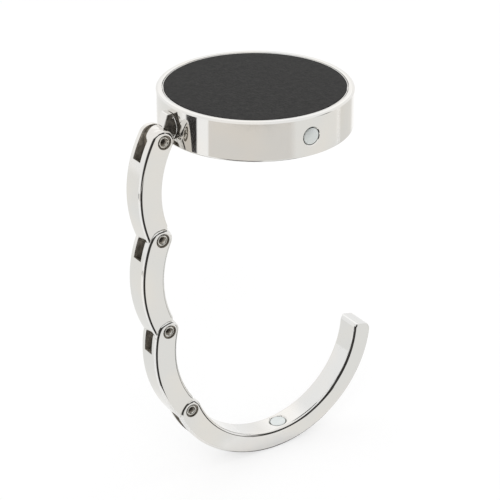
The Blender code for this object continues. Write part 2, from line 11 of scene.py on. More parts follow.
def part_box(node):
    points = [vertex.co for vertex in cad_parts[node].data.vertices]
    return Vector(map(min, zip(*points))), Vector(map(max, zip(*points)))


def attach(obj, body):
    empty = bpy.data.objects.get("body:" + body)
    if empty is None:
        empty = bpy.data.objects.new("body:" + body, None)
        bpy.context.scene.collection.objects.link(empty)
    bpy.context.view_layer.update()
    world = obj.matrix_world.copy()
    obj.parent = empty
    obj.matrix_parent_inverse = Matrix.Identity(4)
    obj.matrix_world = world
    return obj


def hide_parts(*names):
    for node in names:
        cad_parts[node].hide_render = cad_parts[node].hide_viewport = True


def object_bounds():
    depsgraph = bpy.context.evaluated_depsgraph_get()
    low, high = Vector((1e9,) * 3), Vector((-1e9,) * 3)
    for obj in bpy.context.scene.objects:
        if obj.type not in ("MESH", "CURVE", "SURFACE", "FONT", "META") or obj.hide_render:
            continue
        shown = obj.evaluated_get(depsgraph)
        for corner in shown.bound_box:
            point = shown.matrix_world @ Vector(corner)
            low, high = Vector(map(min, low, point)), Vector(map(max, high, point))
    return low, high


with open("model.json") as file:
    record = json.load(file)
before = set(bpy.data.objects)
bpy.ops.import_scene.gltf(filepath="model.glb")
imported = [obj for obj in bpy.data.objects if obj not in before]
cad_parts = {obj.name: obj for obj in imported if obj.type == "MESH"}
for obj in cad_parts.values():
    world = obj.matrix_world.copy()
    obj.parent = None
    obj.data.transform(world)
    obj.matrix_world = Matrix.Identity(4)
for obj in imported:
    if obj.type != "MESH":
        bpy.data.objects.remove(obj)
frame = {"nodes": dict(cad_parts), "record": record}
cad_bounds = [list(map(float, corner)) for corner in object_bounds()]

# Studio: a white floor and an even white tent. The camera looks down on the puck from the front
# left, and stands where the disc's ellipse and the links' edges fall as in the photograph.
CAMERA_AZIMUTH = math.radians(-33.04)
CAMERA_ELEVATION = math.radians(26.51)
CAMERA_DISTANCE = 0.44007
LENS_PIXELS = 1865.0
PICTURE_PIXELS = 500.0
SENSOR_WIDTH = 36.0
CAMERA_CLIP = 0.01
AIM_SIDE = -0.001187
AIM_HEIGHT = -0.031884
FLOOR_GAP = 0.00005
FLOOR_RADIUS = 0.7
FLOOR_CORNERS = 96
FLOOR_GLOW_SHARE = 0.66
FLOOR_GLOSSY_SHARE = 0.05
PAPER_WHITE = (0.96, 0.96, 0.96)

side_way = Vector((math.cos(CAMERA_AZIMUTH), math.sin(CAMERA_AZIMUTH), 0))
back_way = Vector((
    math.sin(CAMERA_AZIMUTH) * math.cos(CAMERA_ELEVATION),
    -math.cos(CAMERA_AZIMUTH) * math.cos(CAMERA_ELEVATION),
    math.sin(CAMERA_ELEVATION)))
bpy.ops.object.camera_add()
camera = bpy.context.object
camera.data.sensor_width = SENSOR_WIDTH
camera.data.lens = LENS_PIXELS * SENSOR_WIDTH / PICTURE_PIXELS
camera.data.clip_start = CAMERA_CLIP
camera.location = side_way * AIM_SIDE + Vector((0, 0, AIM_HEIGHT)) + back_way * CAMERA_DISTANCE
camera.rotation_euler = back_way.to_track_quat("Z", "Y").to_euler()
bpy.context.scene.camera = camera
bpy.context.scene.view_settings.view_transform = "Standard"


class Flow:
    """A socket in a shader's tree. Sums and products of it add Math nodes."""

    def __init__(self, tree, socket=None):
        self.tree = tree
        self.socket = socket

    def node(self, kind, settings, inputs, output=0):
        made = self.tree.nodes.new("ShaderNode" + kind)
        stops = settings.pop("stops", ())
        for key, value in settings.items():
            setattr(made, key, value)
        for index, (place, shade) in enumerate(stops):
            ramp = made.color_ramp.elements
            stop = ramp[index] if index < len(ramp) else ramp.new(place)
            stop.position = place
            stop.color = (*shade, 1)
        for key, value in inputs.items():
            if isinstance(value, Flow):
                self.tree.links.new(value.socket, made.inputs[key])
            else:
                made.inputs[key].default_value = value
        return Flow(self.tree, made.outputs[output])

    def math(self, operation, first, second):
        return self.node("Math", {"operation": operation}, {0: first, 1: second})

    def __add__(self, other):
        return self.math("ADD", self, other)

    __radd__ = __add__

    def __mul__(self, other):
        return self.math("MULTIPLY", self, other)

    __rmul__ = __mul__

    def ramp(self, *stops):
        return self.node("ValToRGB", {"stops": stops}, {0: self})

    def noise(self, scale, detail):
        """Noise over the places that this flow holds."""
        return self.node("TexNoise", {}, {"Vector": self, "Scale": scale, "Detail": detail})

    def feed(self, socket):
        self.tree.links.new(self.socket, socket)

    def emboss(self, sockets, strength, distance):
        """Raise the surface where this flow is high, by up to a distance in metres."""
        self.node(
            "Bump", {}, {"Height": self, "Strength": strength, "Distance": distance}, "Normal").feed(
            sockets["Normal"])


def new_finish(name, roughness, metallic):
    """A material with one Principled shader; returns it with the shader's sockets and a Flow."""
    finish = bpy.data.materials.new(name)
    finish.use_nodes = True
    shader = finish.node_tree.nodes["Principled BSDF"]
    shader.inputs["Roughness"].default_value = roughness
    shader.inputs["Metallic"].default_value = metallic
    return finish, shader.inputs, Flow(finish.node_tree)


def seen_directly(flow):
    """One flow for rays straight from the camera, and one for mirrored and clear ones as well."""
    path = flow.node("LightPath", {}, {}, "Is Camera Ray")
    mirror = Flow(flow.tree, path.socket.node.outputs["Is Glossy Ray"])
    clear = Flow(flow.tree, path.socket.node.outputs["Is Transmission Ray"])
    return path, path + mirror + clear


world = bpy.data.worlds.new("white_tent")
bpy.context.scene.world = world
world.use_nodes = True
sky = Flow(world.node_tree)
direction = sky.node("TexCoord", {}, {}, "Generated")
height = sky.node("SeparateXYZ", {}, {0: direction}, "Z")
tent = (height * 0.5 + 0.5).ramp((0.0, (0.86, 0.86, 0.86)), (1.0, (1.0, 1.0, 1.0)))
direct = seen_directly(sky)[1]
lit = sky.node("Mix", {"data_type": "RGBA"}, {0: direct, 6: tent, 7: (1, 1, 1, 1)}, 2)
background = world.node_tree.nodes["Background"]
lit.feed(background.inputs["Color"])
background.inputs["Strength"].default_value = 1.0

floor_height = cad_bounds[0][2] - FLOOR_GAP
bpy.ops.object.select_all(action="DESELECT")
bpy.ops.mesh.primitive_circle_add(
    vertices=FLOOR_CORNERS, radius=FLOOR_RADIUS, fill_type="NGON", location=(0, 0, floor_height))
floor = bpy.context.object
floor.name = "white_floor"
finish, sockets, flow = new_finish("white_paper", 0.9, 0.0)
sockets["Base Color"].default_value = (*PAPER_WHITE, 1)
straight, direct = seen_directly(flow)
glow = flow.node("Emission", {}, {"Color": (1, 1, 1, 1), "Strength": 1.0})
paper = Flow(finish.node_tree, finish.node_tree.nodes["Principled BSDF"].outputs[0])
share = direct * FLOOR_GLOSSY_SHARE + straight * (FLOOR_GLOW_SHARE - FLOOR_GLOSSY_SHARE)
mixed = flow.node("MixShader", {}, {0: share, 1: paper, 2: glow})
below = flow.node("NewGeometry", {}, {}, "Backfacing")
clear = flow.node("BsdfTransparent", {}, {})
sided = flow.node("MixShader", {}, {0: below, 1: mixed, 2: clear})
sided.feed(finish.node_tree.nodes["Material Output"].inputs["Surface"])
floor.data.materials.append(finish)

# Painted reflections: glowing cards that only mirror-bright metal sees, hidden from the camera,
# from diffuse light and from shadows. Dark ones past the white paper's front edge, and close round
# the chain and the tip, paint the thin dark lines along rounded edges; the dark contact card paints
# the hook's contact shadow into its lowest edge. Pale ones paint tints on the broad faces, and the
# bright back card paints a highlight on faces that look back, the lip's top among them. They stand
# where the photograph's metal shows them, in degrees from the camera.
CARD_STEPS = 48
CARD_FLOAT = 0.0006
PAPER_EDGE = 0.258
PAPER_END = 0.45
SIDE_CARD_EDGE = 0.42
WALL_RADIUS = 0.5
SIDE_WALL_RADIUS = 0.51
WALL_FOOT = -0.02
WALL_TOP = 0.2
SIDE_WALL_TOP = 0.34
UPPER_WALL_FOOT = 0.06
BACK_WALL_FOOT = 0.12
BACK_WALL_TOP = 0.7
NEAR_WALL_RADIUS = 0.04
CHAIN_CARD_EDGE = 0.026
CHAIN_WALL_RISE = 0.067
CHAIN_CENTRE = (-0.025, -0.003)
TIP_CARD_EDGE = 0.015
TIP_WALL_RISE = 0.034
TIP_CENTRE = (0.032, -0.003)
NEAR_FADE = (0.2, 0.05, 0.02, 0.002)
RIM_CARD_EDGE = 0.212
CONTACT_CARD_EDGE = 0.192
CONTACT_CARD_END = 0.2036
CONTACT_CENTRE = (0.006, 0.2)
WARM_CARD_EDGE = 0.2
PALE_CARD_EDGE = 0.012
PALE_CARD_END = 0.295
LEFT_CARD_END = 0.6
DARK = (0.040, 0.038, 0.036)
RIM_DARK = (0.035, 0.033, 0.032)
CONTACT_SHADOW_PAINT = (0.05, 0.048, 0.045)
WARM_PALE = (0.79, 0.765, 0.73)
FRONT_PALE = (0.90, 0.895, 0.875)
LEFT_PALE = (0.895, 0.895, 0.88)
SIDE_GREY = (0.81, 0.80, 0.775)
PAINTED_HIGHLIGHT = (1.14, 1.14, 1.14)


def add_card(name, sweep, profile, colour, fade, centre=(0, 0)):
    """Sweep (radius, height) points round a centre, and fade both ends and both rims by shares."""
    first, last = sweep
    rows = len(profile) - 1
    bpy.ops.object.select_all(action="DESELECT")
    bpy.ops.mesh.primitive_grid_add(x_subdivisions=CARD_STEPS, y_subdivisions=rows, size=1)
    card = bpy.context.object
    card.name = name
    for corner in card.data.vertices:
        swing = CAMERA_AZIMUTH + math.radians(first + (last - first) * (corner.co.x + 0.5))
        radius, height = profile[round((corner.co.y + 0.5) * rows)]
        across = centre[0] + radius * math.sin(swing)
        corner.co = (across, centre[1] - radius * math.cos(swing), height)
    finish, sockets, flow = new_finish(name, 1.0, 0.0)
    spread = flow.node("TexCoord", {}, {}, "UV")
    shares = []
    for axis, near_fade, far_fade in (("X", *fade[:2]), ("Y", *fade[2:])):
        shares.append(flow.node("SeparateXYZ", {}, {0: spread}, axis).ramp(
            (0.0, (0, 0, 0)), (near_fade, (1, 1, 1)), (1 - far_fade, (1, 1, 1)), (1.0, (0, 0, 0))))
    glow = flow.node("Emission", {}, {"Color": (*colour, 1), "Strength": 1.0})
    clear = flow.node("BsdfTransparent", {}, {})
    mixed = flow.node("MixShader", {}, {0: shares[0] * shares[1], 1: clear, 2: glow})
    mixed.feed(finish.node_tree.nodes["Material Output"].inputs["Surface"])
    card.data.materials.append(finish)
    card.visible_camera = False
    card.visible_diffuse = False
    card.visible_shadow = False
    card.visible_transmission = False


def flat(inner, outer, height):
    """The profile of a card that lies level."""
    return [(inner, height), (outer, height)]


paper_height = floor_height + CARD_FLOAT
pale_height = paper_height - CARD_FLOAT / 2
contact_height = floor_height + FLOOR_GAP / 2
add_card(
    "dark_front_card", (-38, 44),
    [*flat(PAPER_EDGE, PAPER_END, paper_height), (WALL_RADIUS, WALL_FOOT), (WALL_RADIUS, WALL_TOP)],
    DARK, (0.25, 0.05, 0.004, 0.1))
add_card(
    "dark_side_card", (38, 64),
    [
        *flat(SIDE_CARD_EDGE, PAPER_END, paper_height),
        (SIDE_WALL_RADIUS, WALL_FOOT),
        (SIDE_WALL_RADIUS, SIDE_WALL_TOP)],
    DARK, (0.12, 0.02, 0.2, 0.12))
add_card(
    "dark_upper_card", (63, 100),
    [(SIDE_WALL_RADIUS, UPPER_WALL_FOOT), (SIDE_WALL_RADIUS, SIDE_WALL_TOP)],
    DARK, (0.02, 0.2, 0.2, 0.12))
for name, sweep, edge, rise, centre in (
        ("dark_chain_card", (-34, 42), CHAIN_CARD_EDGE, CHAIN_WALL_RISE, CHAIN_CENTRE),
        ("dark_tip_card", (-30, 36), TIP_CARD_EDGE, TIP_WALL_RISE, TIP_CENTRE)):
    profile = flat(edge, NEAR_WALL_RADIUS, paper_height)
    profile.append((NEAR_WALL_RADIUS, floor_height + rise))
    add_card(name, sweep, profile, DARK, NEAR_FADE, centre)
add_card(
    "dark_rim_card", (-84, -67), flat(RIM_CARD_EDGE, PAPER_EDGE, paper_height),
    RIM_DARK, (0.15, 0.1, 0.02, 0.02))
# A painted contact shadow: a dark strip on the floor under the hook, seen only in reflections.
add_card(
    "painted_contact_shadow_card", (28.5, 38.5), flat(CONTACT_CARD_EDGE, CONTACT_CARD_END, contact_height),
    CONTACT_SHADOW_PAINT, (0.1, 0.1, 0.02, 0.02), CONTACT_CENTRE)
add_card(
    "warm_front_card", (-54, 46), flat(WARM_CARD_EDGE, PAPER_EDGE, paper_height),
    WARM_PALE, (0.02, 0.08, 0.02, 0.02))
add_card(
    "pale_front_card", (-20, 112), flat(PALE_CARD_EDGE, PALE_CARD_END, pale_height),
    FRONT_PALE, (0.03, 0.08, 0.01, 0.02))
add_card(
    "grey_side_card", (106, 150), flat(PALE_CARD_EDGE, PALE_CARD_END, pale_height),
    SIDE_GREY, (0.1, 0.25, 0.1, 0.02))
add_card(
    "pale_left_card", (-160, -88), flat(PALE_CARD_EDGE, LEFT_CARD_END, pale_height),
    LEFT_PALE, (0.1, 0.1, 0.05, 0.4))
# A painted highlight: a bright glowing wall behind the object, seen only in reflections.
add_card(
    "painted_highlight_card", (138, 222),
    [(WALL_RADIUS, BACK_WALL_FOOT), (WALL_RADIUS, BACK_WALL_TOP)],
    PAINTED_HIGHLIGHT, (0.2, 0.2, 0.2, 0.2))

for name, place, size, watts in (
        ("front_softbox", (-0.45, -0.75, 0.75), 0.5, 2.2),
        ("right_softbox", (0.80, -0.10, 0.45), 0.4, 0.8)):
    bpy.ops.object.light_add(type="AREA", location=place)
    lamp = bpy.context.object
    lamp.name = name
    lamp.data.size = size
    lamp.data.energy = watts
    lamp.visible_glossy = False
    lamp.rotation_euler = Vector(place).to_track_quat("Z", "Y").to_euler()


# Puck body: a cup of die-cast zinc, polished and plated. The lip round the inlay and the lower
# edge are rolled over, and the swivel's seat and two magnet pockets are milled into its wall.
TURN_STEPS = 288
SMALL_STEPS = 64
MERGE = 1e-7
SMOOTH_ANGLE = math.radians(32)
LIP_WIDTH = 0.0014
LIP_ROUND = 0.0008
LIP_EDGE_ANGLE = math.radians(30)
LIP_INNER_ROUND = 0.00015
FOOT_ROUND = 0.0005
RECESS_DEPTH = 0.0013
WEB_THICKNESS = 0.0011
FOOT_WALL = 0.0023
CAVITY_WALL = 0.0035
FLANGE_SEAT_RADIUS = 0.003
FLANGE_SEAT_DEPTH = 0.00086
STUB_HOLE_RADIUS = 0.00125
SPRING_SEAT_RADIUS = 0.0022
SPRING_SEAT_DEPTH = 0.0005
POCKET_RADIUS = 0.0021
POCKET_DEPTH = 0.002
POCKET_CHAMFER = 0.0002
SEAT_GAP = 0.00008
OVERRUN = 0.001
ARC_STEPS = 8
FINE_STEPS = 4


def arc(centre, radius, start, end, steps=ARC_STEPS):
    """Points on an arc from start to end, both included."""
    points = []
    for step in range(steps + 1):
        angle = start + (end - start) * step / steps
        points.append((centre[0] + radius * math.cos(angle), centre[1] + radius * math.sin(angle)))
    return points


def start_polygon(name, points):
    """Add a filled ring of corners, and pull the corners onto the given (x, z) points."""
    bpy.ops.object.select_all(action="DESELECT")
    bpy.ops.mesh.primitive_circle_add(vertices=len(points), radius=1, fill_type="NGON")
    piece = bpy.context.object
    piece.name = name
    for corner, (x, z) in zip(piece.data.vertices, points):
        corner.co = (x, 0, z)
    bpy.ops.object.mode_set(mode="EDIT")
    bpy.ops.mesh.select_all(action="SELECT")
    return piece


def turned(name, profile, steps=TURN_STEPS):
    """Turn a closed (radius, height) profile into a round piece about the Z axis."""
    piece = start_polygon(name, profile)
    bpy.ops.mesh.delete(type="ONLY_FACE")
    bpy.ops.mesh.select_all(action="SELECT")
    bpy.ops.mesh.spin(steps=steps, angle=math.tau, center=(0, 0, 0), axis=(0, 0, 1))
    bpy.ops.mesh.select_all(action="SELECT")
    bpy.ops.mesh.remove_doubles(threshold=MERGE)
    bpy.ops.mesh.delete_loose()
    bpy.ops.mesh.select_all(action="SELECT")
    bpy.ops.mesh.normals_make_consistent(inside=False)
    bpy.ops.object.mode_set(mode="OBJECT")
    return piece


def place(piece, matrix):
    """Move a piece's mesh; its object stays at the origin."""
    piece.data.transform(matrix)
    return piece


def facing(spot, way):
    """The place of a round piece whose axis, its own Z, points the given way."""
    return Matrix.Translation(spot) @ Vector(way).to_track_quat("Z", "X").to_matrix().to_4x4()


def carve(piece, tool, operation="DIFFERENCE"):
    """Cut a tool out of a piece, or join it on, and use the tool up."""
    modifier = piece.modifiers.new(tool.name, "BOOLEAN")
    modifier.operation = operation
    modifier.solver = "EXACT"
    modifier.object = tool
    bpy.context.view_layer.objects.active = piece
    bpy.ops.object.modifier_apply(modifier=modifier.name)
    bpy.data.objects.remove(tool)


def polish(piece, angle=SMOOTH_ANGLE):
    """Shade a piece smooth up to its sharp edges, with its flat faces kept flat."""
    bpy.ops.object.select_all(action="DESELECT")
    bpy.context.view_layer.objects.active = piece
    piece.select_set(True)
    bpy.ops.object.shade_smooth_by_angle(angle=angle)
    weighted = piece.modifiers.new("even_normals", "WEIGHTED_NORMAL")
    weighted.keep_sharp = True
    bpy.ops.object.modifier_apply(modifier=weighted.name)


def plated_metal(name, colour, roughness=0.055):
    """Bright plating: a faint warm and cool drift, soft waves from polishing, and fine haze."""
    finish, sockets, flow = new_finish(name, roughness, 1.0)
    spot = flow.node("TexCoord", {}, {}, "Object")
    drift = spot.noise(scale=90.0, detail=2.0)
    warm = tuple(value * share for value, share in zip(colour, (1.015, 1.0, 0.985)))
    cool = tuple(value * share for value, share in zip(colour, (0.97, 0.98, 0.995)))
    drift.ramp((0.35, cool), (0.65, warm)).feed(sockets["Base Color"])
    haze = spot.noise(scale=260.0, detail=5.0)
    rub = spot.noise(scale=1400.0, detail=3.0)
    (haze * 0.07 + rub * 0.04 + (roughness - 0.05)).feed(sockets["Roughness"])
    waves = spot.noise(scale=420.0, detail=1.0)
    (waves + rub * 0.05).emboss(sockets, strength=0.5, distance=0.000004)
    return finish


PLATING = (0.80, 0.79, 0.765)
body_low, body_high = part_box("puck_body")
PUCK_RADIUS = body_high[0]
PUCK_TOP = body_high[2]
PUCK_BOTTOM = body_low[2]
AXIS_HEIGHT = (PUCK_TOP + PUCK_BOTTOM) / 2

recess_radius = PUCK_RADIUS - LIP_WIDTH
recess_floor = PUCK_TOP - RECESS_DEPTH
ledge_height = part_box("base_plate")[1][2] + SEAT_GAP
foot_radius = PUCK_RADIUS - FOOT_WALL
cavity_radius = PUCK_RADIUS - CAVITY_WALL
cavity_top = recess_floor - WEB_THICKNESS
quarter = math.pi / 2
lip_centre = (PUCK_RADIUS - LIP_ROUND * math.cos(LIP_EDGE_ANGLE), PUCK_TOP - LIP_ROUND)
puck = turned("puck_casting", [
    (0, recess_floor),
    (0, cavity_top),
    (cavity_radius, cavity_top),
    (cavity_radius, ledge_height),
    (foot_radius, ledge_height),
    (foot_radius, PUCK_BOTTOM),
    *arc((PUCK_RADIUS - FOOT_ROUND, PUCK_BOTTOM + FOOT_ROUND), FOOT_ROUND, -quarter, 0),
    *arc(lip_centre, LIP_ROUND, LIP_EDGE_ANGLE, quarter),
    *arc(
        (recess_radius + LIP_INNER_ROUND, PUCK_TOP - LIP_INNER_ROUND), LIP_INNER_ROUND,
        quarter, math.pi, FINE_STEPS),
    (recess_radius, recess_floor)])

seat = turned("swivel_seat_tool", [
    (0, -PUCK_RADIUS - OVERRUN),
    (FLANGE_SEAT_RADIUS, -PUCK_RADIUS - OVERRUN),
    (FLANGE_SEAT_RADIUS, -PUCK_RADIUS + FLANGE_SEAT_DEPTH),
    (STUB_HOLE_RADIUS, -PUCK_RADIUS + FLANGE_SEAT_DEPTH),
    (STUB_HOLE_RADIUS, -cavity_radius - SPRING_SEAT_DEPTH),
    (SPRING_SEAT_RADIUS, -cavity_radius - SPRING_SEAT_DEPTH),
    (SPRING_SEAT_RADIUS, -cavity_radius + OVERRUN),
    (0, -cavity_radius + OVERRUN)], SMALL_STEPS)
carve(puck, place(seat, facing((0, 0, AXIS_HEIGHT), (1, 0, 0))))


def box_middle(node):
    """The middle of a node's box at rest."""
    low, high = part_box(node)
    return (Vector(low) + Vector(high)) / 2


def sink_pocket(piece, spot, outward):
    """Cut a magnet's round pocket, with a chamfered mouth, at a spot on a piece's face."""
    pocket = turned(piece.name + "_pocket_tool", [
        (0, -POCKET_DEPTH),
        (POCKET_RADIUS, -POCKET_DEPTH),
        (POCKET_RADIUS, -POCKET_CHAMFER),
        (POCKET_RADIUS + POCKET_CHAMFER + OVERRUN, OVERRUN),
        (0, OVERRUN)], SMALL_STEPS)
    half_step = Matrix.Rotation(math.pi / SMALL_STEPS, 4, "Z")
    carve(piece, place(pocket, facing(spot, outward) @ half_step))


for node in ("rim_magnet_front", "rim_magnet_rear"):
    middle = box_middle(node)
    outward = Vector((middle.x, middle.y, 0)).normalized()
    sink_pocket(puck, outward * PUCK_RADIUS + Vector((0, 0, AXIS_HEIGHT)), outward)
polish(puck)
puck.data.materials.append(plated_metal("plated_puck", PLATING))
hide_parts("puck_body")
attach(puck, "puck")


# Inlay: a disc of black grained leather glued into a thin turned tray, whose bright edge shows as
# a hairline round it. The tray sits in the puck's recess on double-sided film.
TRAY_FLOOR = 0.00025
TRAY_WALL = 0.00022
INLAY_EDGE_ROUND = 0.00018
INLAY_CROWN = 0.00003
CROWN_SHARES = (0.95, 0.85, 0.7, 0.5, 0.25, 0)

tray_low, tray_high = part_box("inlay_tray")
tray_radius = tray_high[0]
tray = turned("turned_tray", [
    (0, tray_low[2]),
    (tray_radius, tray_low[2]),
    (tray_radius, tray_high[2] - TRAY_WALL / 2),
    *arc(
        (tray_radius - TRAY_WALL / 2, tray_high[2] - TRAY_WALL / 2), TRAY_WALL / 2, 0, math.pi),
    (tray_radius - TRAY_WALL, tray_low[2] + TRAY_FLOOR),
    (0, tray_low[2] + TRAY_FLOOR)])
polish(tray)
tray.data.materials.append(plated_metal("bright_tray", (0.80, 0.79, 0.77), 0.12))
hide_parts("inlay_tray")
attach(tray, "puck")

inlay_low, inlay_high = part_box("leather_inlay")
inlay_radius = inlay_high[0]
crown = [
    (inlay_radius * share, inlay_high[2] - INLAY_CROWN * share * share)
    for share in CROWN_SHARES]
edge_centre = (inlay_radius - INLAY_EDGE_ROUND, inlay_high[2] - INLAY_CROWN - INLAY_EDGE_ROUND)
inlay = turned("grained_inlay", [
    (0, inlay_low[2]),
    (inlay_radius, inlay_low[2]),
    *arc(edge_centre, INLAY_EDGE_ROUND, 0, quarter),
    *crown])
polish(inlay)


def grained_leather(name):
    """Black leather with a fine pebble grain, and a slow drift of its sheen."""
    finish, sockets, flow = new_finish(name, 0.5, 0.0)
    sockets["Specular IOR Level"].default_value = 0.08
    spot = flow.node("TexCoord", {}, {}, "Object")
    pebble = flow.node(
        "TexVoronoi", {"feature": "SMOOTH_F1"},
        {"Vector": spot, "Scale": 2100.0, "Smoothness": 0.6, "Randomness": 1.0}, "Distance")
    soft = spot.noise(scale=1500.0, detail=4.0)
    cloud = spot.noise(scale=700.0, detail=6.0)
    (cloud * 0.6 + pebble * 0.4).ramp(
        (0.3, (0.009, 0.0088, 0.0085)), (0.7, (0.036, 0.0352, 0.034))).feed(sockets["Base Color"])
    (0.42 + cloud * 0.14 + pebble * 0.12).feed(sockets["Roughness"])
    (pebble * 0.7 + soft * 0.5).emboss(sockets, strength=0.5, distance=0.00006)
    return finish


inlay.data.materials.append(grained_leather("black_grained_leather"))
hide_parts("leather_inlay")
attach(inlay, "puck")


# Underside: a black rubber pad on a steel closing plate. The pad's edge is rounded, and shallow
# grooves round its face help it to grip the table.
PAD_EDGE_ROUND = 0.00025
GROOVE_DEPTH = 0.00012
GROOVE_WIDTH = 0.0005
GROOVE_PITCH = 0.0022
GROOVE_COUNT = 6
PAD_EDGE_STEPS = 5

pad_low, pad_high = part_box("base_pad")
pad_radius = pad_high[0]
profile = [(0, pad_high[2]), (0, pad_low[2])]
for number in range(1, GROOVE_COUNT + 1):
    middle = GROOVE_PITCH * (number + 1)
    profile += [
        (middle - GROOVE_WIDTH / 2, pad_low[2]),
        (middle, pad_low[2] + GROOVE_DEPTH),
        (middle + GROOVE_WIDTH / 2, pad_low[2])]
profile += arc(
    (pad_radius - PAD_EDGE_ROUND, pad_low[2] + PAD_EDGE_ROUND), PAD_EDGE_ROUND,
    -quarter, 0, PAD_EDGE_STEPS)
profile.append((pad_radius, pad_high[2]))
pad = turned("grooved_pad", profile)
polish(pad)


def matt_rubber(name):
    """Black rubber: matt, slightly dusty, with a fine moulded texture."""
    finish, sockets, flow = new_finish(name, 0.8, 0.0)
    spot = flow.node("TexCoord", {}, {}, "Object")
    dust = spot.noise(scale=300.0, detail=5.0)
    dust.ramp((0.4, (0.018, 0.018, 0.018)), (0.8, (0.045, 0.044, 0.042))).feed(
        sockets["Base Color"])
    (0.72 + dust * 0.2).feed(sockets["Roughness"])
    fine = spot.noise(scale=5200.0, detail=2.0)
    fine.emboss(sockets, strength=0.4, distance=0.00003)
    return finish


pad.data.materials.append(matt_rubber("black_matt_rubber"))
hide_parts("base_pad")
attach(pad, "puck")


def plain_finish(name, dark, light, roughness, metallic):
    """A hidden piece's finish: a little mottled, with a fine grain."""
    finish, sockets, flow = new_finish(name, roughness, metallic)
    spot = flow.node("TexCoord", {}, {}, "Object")
    mottle = spot.noise(scale=500.0, detail=4.0)
    mottle.ramp((0.3, dark), (0.7, light)).feed(sockets["Base Color"])
    (mottle * 0.15 + (roughness - 0.07)).feed(sockets["Roughness"])
    mottle.emboss(sockets, strength=0.3, distance=0.00001)
    return finish


hidden_steel = plain_finish("plain_steel", (0.50, 0.50, 0.49), (0.64, 0.64, 0.62), 0.3, 1.0)
hidden_film = plain_finish("adhesive_film", (0.74, 0.73, 0.66), (0.86, 0.85, 0.79), 0.6, 0.0)
hidden_nylon = plain_finish("white_nylon", (0.76, 0.75, 0.70), (0.84, 0.83, 0.79), 0.5, 0.0)
for node, finish in (
        ("base_plate", hidden_steel),
        ("spring_washer", hidden_steel),
        ("swivel_collar", hidden_steel),
        ("inlay_adhesive", hidden_film),
        ("tray_adhesive", hidden_film),
        ("pad_adhesive", hidden_film),
        ("swivel_washer", hidden_nylon)):
    frame["nodes"][node].data.materials.clear()
    frame["nodes"][node].data.materials.append(finish)


# Magnets: sintered discs with a satin nickel skin and a turned chamfer that shows as a thin ring.
# They are pressed flush into the rim, into the arm's inner face and into the second link's.
MAGNET_THICKNESS = 0.0018
MAGNET_CHAMFER = 0.00028
CHAMFER_BULGE_SHARES = (0.35, 0.15)


def magnet_skin(name):
    """Satin nickel, cool grey, with the faint circles of lapping and some fine scratches."""
    finish, sockets, flow = new_finish(name, 0.3, 1.0)
    spot = flow.node("TexCoord", {}, {}, "Object")
    cloud = spot.noise(scale=900.0, detail=3.0)
    cloud.ramp((0.3, (0.69, 0.725, 0.72)), (0.7, (0.77, 0.80, 0.79))).feed(sockets["Base Color"])
    (cloud * 0.2 + 0.28).feed(sockets["Roughness"])
    grain = spot.noise(scale=6000.0, detail=2.0)
    grain.emboss(sockets, strength=0.3, distance=0.000006)
    return finish


skin = magnet_skin("satin_nickel_skin")
joints = {joint["name"]: joint for joint in frame["record"]["behaviour"]["joints"]}


def make_magnet(node, outward, body):
    """A magnet whose outer face looks along outward; its size is the node's own."""
    low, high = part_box(node)
    size = Vector(high) - Vector(low)
    radius = size.y / 2 if outward.y == 0 else size.z / 2
    half = MAGNET_THICKNESS / 2
    side_share, face_share = CHAMFER_BULGE_SHARES
    profile = [
        (0, -half),
        (radius, -half),
        (radius, half - MAGNET_CHAMFER),
        (radius - MAGNET_CHAMFER * side_share, half - MAGNET_CHAMFER * face_share),
        (radius - MAGNET_CHAMFER, half),
        (0, half)]
    magnet = turned(node + "_disc", profile, SMALL_STEPS)
    place(magnet, facing(box_middle(node), outward))
    polish(magnet)
    magnet.data.materials.append(skin)
    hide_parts(node)
    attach(magnet, body)


for node in ("rim_magnet_front", "rim_magnet_rear"):
    middle = box_middle(node)
    make_magnet(node, Vector((middle.x, middle.y, 0)).normalized(), "puck")


# Swivel block: one plated piece that turns in the puck's wall. Its flange fills the round seat,
# its plate carries the first pin, and a heel below the pin stops the first link.
LUG_WIDTH = 0.0027
LUG_RADIUS = 0.0023
LUG_EDGE_ROUND = 0.00022
BLOCK_LUG_RADIUS = 0.0027
BLOCK_FACE_LENGTH = 0.0029
LUG_TOP_ANGLE = math.radians(72)
NECK_HEIGHT = 0.0063
NECK_TOP_LENGTH = 0.0015
FLANGE_RADIUS = 0.0028
FLANGE_THICKNESS = 0.0004
FLANGE_EDGE = 0.00008
STUB_RADIUS = 0.00115
RIM_GAP = 0.0001
TONGUE_HALF_HEIGHT = 0.002
HEEL_LENGTH = 0.0039
HEEL_WIDTH = 0.0018
CHEEK_RADIUS = 0.0027
SLOT_WEB = 0.0012
STOP_GAP = 0.00015
RIVET_HOLE_RADIUS = 0.00106
LUG_STEPS = 32
NECK_STEPS = 12
EDGE_STEPS = 6
SOFTEN_ANGLE = math.radians(40)
SPOT_DIGITS = 7
SQUARE_ON = 0.99

first_pin = Vector(joints["hinge_1"]["pos_m"])
pin_drop = AXIS_HEIGHT - first_pin.z
PIN_CIRCLE = math.hypot(first_pin.x, pin_drop)
folds = [math.radians(joints["hinge_" + str(number)]["range_deg"][1]) for number in (1, 2, 3, 4)]
first_turn = math.asin(pin_drop / PIN_CIRCLE) - folds[0]
web_face = CHEEK_RADIUS - SLOT_WEB


def moved(point, origin, turn):
    """Turn a point anticlockwise about zero and carry it to a new origin."""
    x = point[0] * math.cos(turn) - point[1] * math.sin(turn)
    z = point[0] * math.sin(turn) + point[1] * math.cos(turn)
    return (origin[0] + x, origin[1] + z)


